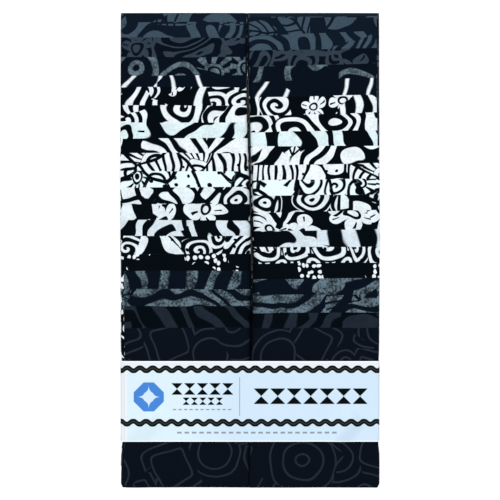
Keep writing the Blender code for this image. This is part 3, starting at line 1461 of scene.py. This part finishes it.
ROWS = (
    Row(0.1, 0.0, 0.0, 1.9, 1.0, 0.4),
    Row(3.7, 0.0, 0.0, 8.2, 1.1, 2.0),
    Row(9.9, 0.1, 0.1, 14.5, 1.0, 1.3),
    Row(17.6, 0.0, 0.0, 20.9, 0.9, 2.1),
    Row(25.0, 0.0, 0.0, 26.8, 1.0, 2.0),
    Row(29.7, 0.1, 0.1, 33.2, 1.1, 1.2),
    Row(36.9, 0.0, 0.0, 40.4, 0.9, 1.8),
    Row(43.7, 0.0, 0.0, 47.2, 0.8, 1.2),
    Row(50.0, 0.1, 0.1, 53.1, 0.2, 0.1),
    Row(55.9, 0.0, 0.0, 60.3, 0.1, 0.9),
    Row(63.0, 0.0, 0.0, 66.3, 0.0, 1.2),
    Row(69.4, 0.2, 0.2, 72.6, 0.1, 0.7),
    Row(76.1, 0.1, 0.1, 79.0, 0.0, 1.0),
    Row(82.5, 0.0, 0.0, 86.4, 0.1, 0.9),
    Row(88.7, 0.2, 0.2, 93.1, 0.0, 0.5),
    Row(95.9, 1.3, 1.3, 99.5, 0.1, 0.4),
    Row(102.6, 1.4, 1.4, 105.6, 0.0, 0.5),
    Row(109.8, 0.3, 1.4, 111.9, 0.1, 0.2),
    Row(116.5, 1.4, 1.4, 119.2, 0.2, 0.6),
    Row(125.2, 1.4, 1.4, 125.3, 0.0, 0.0),
)


@dataclass
class Strip:
    """One cut strip of printed cotton, folded back and forth over its whole length."""

    shape: PackShape
    number: int
    side: Side
    flat_length: float = 1067.0
    shown_edge: float = 10.0
    gap_folds: int = 3
    slipped_rows: int = 3
    edge_wave: float = 0.12
    edge_waves: tuple[tuple[float, float, float], ...] = ((1.0, 12.7, 1.0), (0.5, 3.9, 2.3))
    wave_phase: float = 1.7
    slip_plies: float = 2.0
    lowest: float = 188.9
    level_room: float = 0.8
    cut_apart: float = 0.31
    columns_apart: float = 0.523
    piece: bpy.types.Object = field(init=False)
    plies: np.ndarray = field(init=False)
    widths: np.ndarray = field(init=False)

    @property
    def name(self) -> str:
        """The name of the strip's plain solid."""
        return f"{self.side.label}_strip_{self.number:02d}"

    @property
    def row(self) -> Row:
        """The strip's place in the table of rows."""
        return ROWS[self.number - 1]

    def back_edge(self) -> float:
        """Where the strip's upper edge lies in the plies behind the front one."""
        even = (self.number - 1) * self.shape.row_step
        return even if self.number <= self.slipped_rows else self.row.edge(self.side)

    def edges(
        self, across: np.ndarray, run: np.ndarray, plies: np.ndarray, half: float
    ) -> np.ndarray:
        """How far down the pack the strip's upper edge lies at each point of its section.

        Args:
            across: The points' distances across.
            run: Their distances along the cloth.
            plies: Their plies, where a half means a fold.
            half: Half the column's width.

        Returns:
            The edge's distance down the pack at each point.
        """
        front = np.clip(1 - np.maximum(plies - 0.5, 0) / self.slip_plies, 0, 1)
        shift = math.tan(math.radians(self.row.slant(self.side))) * (across - half) * front
        phase = self.number * self.wave_phase + self.side.value
        wave = np.zeros_like(run)
        for height, length, times in self.edge_waves:
            wave += height * np.sin(run / length + times * phase)
        slip = max(0.0, self.row.edge(self.side) - self.back_edge())
        edge = self.row.edge(self.side) - slip * (1 - front)
        return np.clip(edge + shift + self.edge_wave * wave, 0.0, None)

    def build(self) -> None:
        """Makes the folded sheet on the skeleton that it shares with its neighbours."""
        shape, row = self.shape, self.row
        downs = shape.levels()
        sections = [
            shape.section(self.number, down, self.side, row.inset(self.side, down)) for down in downs
        ]
        skeleton = np.array(
            [
                shape.place(across, down, depth, self.side)
                for down, (across, depth, _) in zip(downs, sections)
            ]
        )
        middle = row.edge(self.side) + shape.strip_width / 2
        across, depth, self.plies = sections[int(np.searchsorted(downs, middle))]
        run = np.concatenate(([0.0], np.cumsum(np.hypot(np.diff(across), np.diff(depth)))))
        half = shape.column_width(middle, self.side) / 2
        tops = self.edges(across, run, self.plies, half)
        bottoms = np.minimum(tops + shape.strip_width, self.lowest)
        first, last = tops.max() + self.level_room, bottoms.min() - self.level_room
        inner = [down for down in downs if first < down < last]
        levels = np.array([tops, *(np.full_like(tops, down) for down in inner), bottoms])
        after = np.clip(np.searchsorted(downs, levels, side="right"), 1, len(downs) - 1)
        share = ((levels - downs[after - 1]) / (downs[after] - downs[after - 1]))[..., None]
        columns = np.arange(len(across))[None, :]
        points = skeleton[after - 1, columns] * (1 - share) + skeleton[after, columns] * share
        self.widths = levels - tops
        start = self.number * self.cut_apart
        start += 0.0 if self.side is Side.LEFT else self.columns_apart
        maps = np.stack((run[None, :] * MM + start + 0 * levels, self.widths * MM), axis=2)
        name = f"{self.name}_cloth"
        sheet = Sheet(name, points, shape.sheet * MM, self.side is Side.RIGHT)
        design = PRINTS[self.number - 1]
        self.piece = sheet.build(maps, self.wears, design.finishes(f"{self.number:02d}"))
        log.info("%s: %.0f mm of cloth, %d faces", self.name, run[-1], len(self.piece.data.polygons))

    def wears(self, row: int, column: int, surface: Surface) -> int:
        """Which of the print's materials a face has.

        Args:
            row: The face's row in the sheet.
            column: Its column.
            surface: Its surface.

        Returns:
            0 where it shows the print, 1 where it lies between plies, and 2 on a cut edge.
        """
        if surface is Surface.EDGE:
            return 2
        behind = surface is Surface.BACK
        ply = self.plies[min(column + 1, len(self.plies) - 1)]
        ply = ply if ply % 1 else self.plies[column]
        down = self.widths[row, column]
        low = self.shape.strip_width - self.shown_edge
        if ply % 1 == 0:
            first, last = ply == 0, ply == self.shape.plies - 1
            printed = (last or (ply == 1 and down < self.shown_edge)) if behind else first
        elif int(ply) % 2 == 0:
            edge = down < self.shown_edge or self.number == self.shape.rows
            printed = not behind and edge and ply < self.gap_folds
        else:
            printed = behind and (down > low or self.number == 1)
        return 0 if printed else 1

    def dress(self) -> None:
        """Ties the piece to the root body and hides its solid."""
        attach(self.piece, "root")
        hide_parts(self.name)


@dataclass(frozen=True)
class PrintedRow:
    """A row of equal printed cells on the band, in millimetres from its middle and upper edge."""

    left: float
    right: float
    middle: float
    height: float
    count: int

    @property
    def pitch(self) -> float:
        """One cell's width."""
        return (self.right - self.left) / self.count

    def cells(self, net: Net, place: Socket) -> tuple[Wire, Wire, Wire]:
        """The place in the row's cells.

        Args:
            net: The material's nodes.
            place: The place on the flat paper.

        Returns:
            The place along and down its cell, in half heights, and the row's mask.
        """
        across, down = net.parts(place)
        along = (across - self.left) / self.pitch
        along = (along.fract() * 2.0 - 1.0) * (self.pitch / self.height)
        rise = (down - self.middle) / (self.height / 2)
        centre, half = (self.left + self.right) / 2, (self.right - self.left) / 2
        inside = (across - centre).within(half, soft=0.01) * rise.within(1.0, soft=0.03)
        return along, rise, inside


@dataclass(frozen=True)
class PaperPrint:
    """The band's card, with its two wavy lines, thin divider and rows of patchwork blocks."""

    paper: Colour = (0.55, 0.685, 0.81)
    # painted highlight: a lighter paper colour towards the band's left end
    highlight_paper: Colour = (0.60, 0.73, 0.81)
    # painted highlight colours: pale for the upper edge and the left facet, rim for the left crease
    # and the upper and lower edges
    pale: Colour = (0.67, 0.72, 0.76)
    rim: Colour = (0.90, 0.93, 0.97)
    line: Colour = linear(5, 9, 10)
    core: Colour = linear(58, 62, 57)
    blue: Colour = linear(66, 125, 200)
    grey: Colour = linear(120, 128, 136)
    grain_share: float = 0.06
    grain_height: float = 0.03
    grain_strength: float = 0.2
    roughness: float = 0.62
    specular: float = 0.03
    # where the painted highlights lie: towards the left, at the upper edge, on the left facet, along
    # the crease and along both edges
    left_highlight_ramp: tuple[float, float] = (-3.0, -30.0)
    top_edge_highlight: tuple[float, float] = (3.4, 2.4)
    left_facet_highlight: tuple[float, float] = (-48.2, -49.2)
    crease: float = 49.2
    crease_highlight_share: float = 0.7
    half_height: float = 16.0
    edge_highlight_limits: tuple[float, float] = (15.55, 15.75)
    waves: tuple[tuple[float, float], ...] = ((3.2, 2.1), (24.45, 5.4))
    wave_length: float = 5.09
    wave_height: float = 0.58
    wave_width: float = 1.95
    core_share: float = 0.9
    divider: tuple[float, float, float] = (-4.1, 6.4, 21.7)
    divider_share: float = 0.8
    badge: PrintedRow = PrintedRow(-46.2, -34.2, 14.2, 11.6, 1)
    badge_reach: float = 1.35
    star_reach: float = 0.42
    blocks: tuple[PrintedRow, ...] = (
        PrintedRow(-31.5, -6.3, 11.0, 4.6, 5),
        PrintedRow(-27.0, -10.5, 15.9, 2.9, 5),
        PrintedRow(1.2, 47.0, 13.9, 6.2, 7),
    )
    dashes: tuple[PrintedRow, ...] = (
        PrintedRow(-31.0, -7.0, 19.2, 0.5, 11),
        PrintedRow(-29.5, 35.0, 28.4, 0.75, 22),
    )
    dash_half: float = 0.62
    dash_share: float = 0.85

    def card(self, net: Net, place: Socket, grain: Wire) -> Socket:
        """The paper with its two wavy lines and painted highlights: lighter towards the left, paler
        at its upper edge and on its left facet, and light lines along the left crease and along its
        upper and lower edges.

        Args:
            net: The material's nodes.
            place: The place on the flat paper.
            grain: The paper's grain.

        Returns:
            The colour's socket.
        """
        across, down = net.parts(place)
        flecks = grain.step(low=0.35, high=0.65) * self.grain_share
        colour = net.mix(flecks, self.paper, self.grey)
        # painted highlight: lighter towards the left
        colour = net.mix(across.step(*self.left_highlight_ramp), colour, self.highlight_paper)
        # painted highlight: paler at the upper edge and on the left facet
        highlight_wash = down.step(*self.top_edge_highlight).most(across.step(*self.left_facet_highlight))
        colour = net.mix(highlight_wash, colour, self.pale)
        # painted highlight along the left crease
        crease_highlight = (across + self.crease).within(reach=0.1, soft=0.25) * self.crease_highlight_share
        colour = net.mix(crease_highlight, colour, self.rim)
        for middle, phase in self.waves:
            colour = self.wave(net, place, colour, middle, phase)
        # painted highlight along the upper and lower edges
        rim = (down - self.half_height).size().step(*self.edge_highlight_limits)
        return net.mix(rim, colour, self.rim)

    def wave(self, net: Net, place: Socket, colour: Socket, middle: float, phase: float) -> Socket:
        """Draws one wavy line with a lighter core.

        Args:
            net: The material's nodes.
            place: The place on the flat paper.
            colour: The colour under it.
            middle: How far down the band it runs.
            phase: Where its waves start, in radians.

        Returns:
            The new colour's socket.
        """
        across, down = net.parts(place)
        turn = math.tau / self.wave_length
        angle = across * turn + phase
        slope = angle.math("COSINE") * (turn * self.wave_height)
        lean = (slope * slope + 1.0).math("SQRT")
        off = (down - middle - angle.math("SINE") * self.wave_height) / lean
        colour = net.mix(off.within(self.wave_width / 2, soft=0.07), colour, self.line)
        core = off.within(reach=0.18, soft=0.14) * self.core_share
        return net.mix(core, colour, self.core)

    def figures(self, net: Net, place: Socket, colour: Socket) -> Socket:
        """Draws the divider, the star in its badge, the hourglass blocks and the dashes.

        Args:
            net: The material's nodes.
            place: The place on the flat paper.
            colour: The colour under them.

        Returns:
            The new colour's socket.
        """
        across, down = net.parts(place)
        x, top, bottom = self.divider
        middle, half = (top + bottom) / 2, (bottom - top) / 2
        rule = (across - x).within(reach=0.16, soft=0.05) * (down - middle).within(half, soft=0.05)
        colour = net.mix(rule * self.divider_share, colour, self.grey)
        along, rise, inside = self.badge.cells(net, place)
        away = along.size() + rise.size()
        star = (along.size() * rise.size()).math("SQRT") + along.size().most(rise.size()) * 0.5
        colour = net.mix(away.within(self.badge_reach, soft=0.03) * inside, colour, self.blue)
        colour = net.mix(star.within(self.star_reach, soft=0.02) * inside, colour, self.paper)
        for row in self.blocks:
            along, rise, inside = row.cells(net, place)
            near = along.size().step(low=0.95, high=0.9)
            hourglass = (rise.size() - along.size()).step(low=-0.02, high=0.04) * near
            colour = net.mix(hourglass * inside, colour, self.line)
        for row in self.dashes:
            along, rise, inside = row.cells(net, place)
            dash = (along * (row.height / row.pitch)).within(self.dash_half, soft=0.05)
            colour = net.mix(dash * inside * self.dash_share, colour, self.grey)
        return colour

    def material(self) -> bpy.types.Material:
        """The printed paper.

        Returns:
            The material.
        """
        made, shader = blank_material("band_paper")
        net = Net(made.node_tree)
        place = net.flat_place()
        grain = net.noise(place, scale=3.0, detail=3.0)
        colour = self.figures(net, place, self.card(net, place, grain))
        net.feed(shader.inputs["Base Color"], colour)
        relief = net.bump(grain, self.grain_strength, self.grain_height)
        net.feed(shader.inputs["Normal"], relief)
        shader.inputs["Roughness"].default_value = self.roughness
        shader.inputs["Specular IOR Level"].default_value = self.specular
        return made


@dataclass(frozen=True)
class Buckle:
    """A slanted buckle of the paper: a steep facet, and a gentle one beyond it, in millimetres.

    It rises from a line through a place, in the direction across, and fades out at its end.
    """

    x: float
    down: float
    across: tuple[float, float]
    steep: float
    gentle: float
    height: float
    fade: float = 3.0

    def height_at(self, x: float, down: float) -> float:
        """How far it lifts the paper at a place on the band's front.

        Args:
            x: The place across the pack.
            down: How far it lies below the band's upper edge.

        Returns:
            The height in millimetres.
        """
        right, below = x - self.x, down - self.down
        over = right * self.across[0] + below * self.across[1]
        along = abs(self.across[1]) * -right + abs(self.across[0]) * below
        rise = min(max(over / self.steep, 0.0), 1.0)
        rise *= eased_share(1 - (over - self.steep) / self.gentle)
        return self.height * rise * eased_share(0.5 + along / (2 * self.fade))


@dataclass
class PaperBand:
    """The sleeve of paper round both columns."""

    shape: PackShape
    top: float = 138.4
    height: float = 32.0
    paper: float = 0.24
    half_width: float = 51.28
    clearance: float = 0.35
    drop: float = 10.6
    shoulder: float = 1.3
    left_corner: float = 0.9
    facet: float = -49.2
    facet_blend: tuple[float, float] = (0.3, 0.1)
    facet_slope: float = 0.4
    level_half: float = 25.0
    right_corner: float = 1.0
    overlap: float = 16.0
    lap_rise: float = 1.1
    lap_step: float = 4.0
    back_room: float = 1.0
    buckles: tuple[Buckle, ...] = (
        Buckle(-33.2, 26.0, (-0.62, -0.785), 6.5, 10.0, 2.4),
        Buckle(46.0, 25.0, (-0.77, -0.64), 5.0, 9.0, 2.9),
    )
    rows: int = 25
    front_points: tuple[int, int] = (4, 85)
    corner_points: int = 7
    wall_points: int = 6
    back_points: int = 11
    piece: bpy.types.Object = field(init=False)

    def buckle(self, x: float, down: float) -> float:
        """How far the paper stands up along the slanted buckles at its lower corners."""
        return sum(buckle.height_at(x, down) for buckle in self.buckles)

    def front(self, down: float) -> Outline:
        """The band's front at one distance below its upper edge, from the left to the right.

        Args:
            down: The distance.

        Returns:
            Its middle line's (x, z) points.
        """
        crest = self.shape.front_height(self.top) + self.clearance
        height = crest - self.drop * down / self.height
        before, after = self.facet_blend
        left, right = self.left_corner - self.half_width, self.half_width - self.right_corner
        few, many = self.front_points
        places = [*np.linspace(left, self.facet - before, few)]
        places += [*np.linspace(self.facet + after, right, many)]
        line = []
        for x in places:
            beyond = max(0.0, (abs(x) - self.level_half) / self.level_half)
            fall = self.facet_slope * max(0.0, self.facet - x)
            line.append((x, height - self.shoulder * beyond**2 - fall + self.buckle(x, down)))
        return line

    def corner(self, x: float, z: float, radius: float, start: float) -> Outline:
        """A quarter turn to the right round a centre, from a direction in degrees."""
        turns = np.radians(np.linspace(start, start - 90, self.corner_points))
        return [(x + radius * math.cos(turn), z + radius * math.sin(turn)) for turn in turns]

    def wall(self, x: float, start: float, end: float) -> Outline:
        """The points of an upright side between its two ends."""
        shares = np.linspace(0, 1, self.wall_points)[1:-1]
        return [(x, start + (end - start) * share) for share in shares]

    def back(self, start: float, end: float) -> Outline:
        """The points of the back from one place across to another."""
        return [(x, self.paper / 2) for x in np.linspace(start, end, self.back_points)]

    def profile(self, down: float) -> Outline:
        """The band's middle line at one distance below its upper edge.

        Args:
            down: The distance.

        Returns:
            Its (x, z) points, from the end that lies under the lap round to the other.
        """
        low = self.paper / 2
        left, right = -self.half_width, self.half_width
        small, large = self.right_corner, self.left_corner
        front = self.front(down)
        right_top = self.corner(right - small, front[-1][1] - small, small, 90)[1:]
        right_low = self.corner(right - small, low + small, small, 0)
        left_low = self.corner(left + small, low + small, small, 270)
        left_top = self.corner(left + large, front[0][1] - large, large, 180)[:-1]
        lap = self.overlap / 2
        return [
            *((x, low + self.paper * self.lap_rise) for x in (lap, 0.0, -lap)),
            *self.back(-lap - self.lap_step, left + small + self.back_room),
            *left_low,
            *self.wall(left, left_low[-1][1], left_top[0][1]),
            *left_top,
            *front,
            *right_top,
            *self.wall(right, right_top[-1][1], right_low[0][1]),
            *right_low,
            *self.back(right - small - self.back_room, -lap),
        ]

    def build(self) -> None:
        """Makes the sleeve, glued where its ends lap at the back."""
        steps = np.linspace(0.0, self.height, self.rows)
        rings = []
        for step in steps:
            y = self.shape.length / 2 - self.top - step
            rings.append([(x * MM, y * MM, z * MM) for x, z in self.profile(step)])
        points = np.array(rings)
        first, crest_room = points[0], 0.5 * MM
        run = np.concatenate(([0.0], np.cumsum(np.linalg.norm(np.diff(first, axis=0), axis=1))))
        front = np.flatnonzero(first[:, 2] > first[:, 2].max() - crest_room)
        middle = front[np.argmin(np.abs(first[front, 0]))]
        along = run - run[middle] + first[middle, 0]
        maps = np.stack(
            (np.tile(along, (self.rows, 1)), np.tile(steps[:, None] * MM, (1, len(along)))), axis=2
        )
        sheet = Sheet("paper_band_print", points, self.paper * MM, flip=False)
        finish = PaperPrint().material()
        self.piece = sheet.build(maps, lambda row, column, surface: 0, [finish])
        log.info("paper band: %d faces", len(self.piece.data.polygons))

    def dress(self) -> None:
        """Ties the piece to the root body and hides its solid."""
        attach(self.piece, "root")
        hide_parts("paper_band")


@dataclass
class Studio:
    """The white table, the soft light and the far camera above."""

    lens: float = 1600.0
    sensor: float = 36.0
    view_width: float = 198.7
    plane: float = 28.0
    overhead: float = 3.35
    overhead_size: float = 3.0
    ambient: float = 0.22
    ambient_tint: Colour = (0.95, 0.97, 1.0)
    table_half: float = 1.5
    table_white: Colour = (0.98, 0.98, 0.98)
    table_roughness: float = 0.9
    far: float = 20.0

    def floor(self) -> None:
        """A white table top under the pack."""
        mesh = bpy.data.meshes.new("table_top")
        half = self.table_half
        corners = [(-half, -half, 0.0), (half, -half, 0.0), (half, half, 0.0), (-half, half, 0.0)]
        mesh.from_pydata(corners, [], [(0, 1, 2, 3)])
        made, shader = blank_material("table_white")
        shader.inputs["Base Color"].default_value = (*self.table_white, 1.0)
        shader.inputs["Roughness"].default_value = self.table_roughness
        mesh.materials.append(made)
        table = placed("table_top", mesh)

    def light(self) -> None:
        """A wide soft light nearly overhead, and even white light from all round."""
        lamp = bpy.data.lights.new("overhead", "SUN")
        lamp.energy = self.overhead
        lamp.angle = math.radians(self.overhead_size)
        placed("overhead", lamp)
        world = bpy.data.worlds.new("soft_white")
        world.use_nodes = True
        background = world.node_tree.nodes["Background"]
        background.inputs["Color"].default_value = (*self.ambient_tint, 1.0)
        background.inputs["Strength"].default_value = self.ambient
        bpy.context.scene.world = world

    def camera(self) -> None:
        """The camera straight above the pack's middle."""
        data = bpy.data.cameras.new("above")
        data.lens = self.lens
        data.sensor_width = self.sensor
        data.clip_end = self.far
        camera = placed("above", data)
        distance = self.lens * self.view_width / self.sensor * MM
        camera.location = (0.0, 0.0, self.plane * MM + distance)
        bpy.context.scene.camera = camera

    def build(self) -> None:
        """Sets up everything round the pack."""
        self.floor()
        self.light()
        self.camera()
        bpy.context.scene.view_settings.view_transform = "Standard"


def main() -> None:
    """Builds the strips, the band and the studio, and notes the sizes."""
    logging.basicConfig(level=logging.INFO, format="%(message)s")
    shape = PackShape()
    for side in Side:
        for number in range(1, shape.rows + 1):
            strip = Strip(shape, number, side)
            strip.build()
            strip.dress()
    band = PaperBand(shape)
    band.build()
    band.dress()
    Studio().build()


if __name__ == "__main__":
    main()
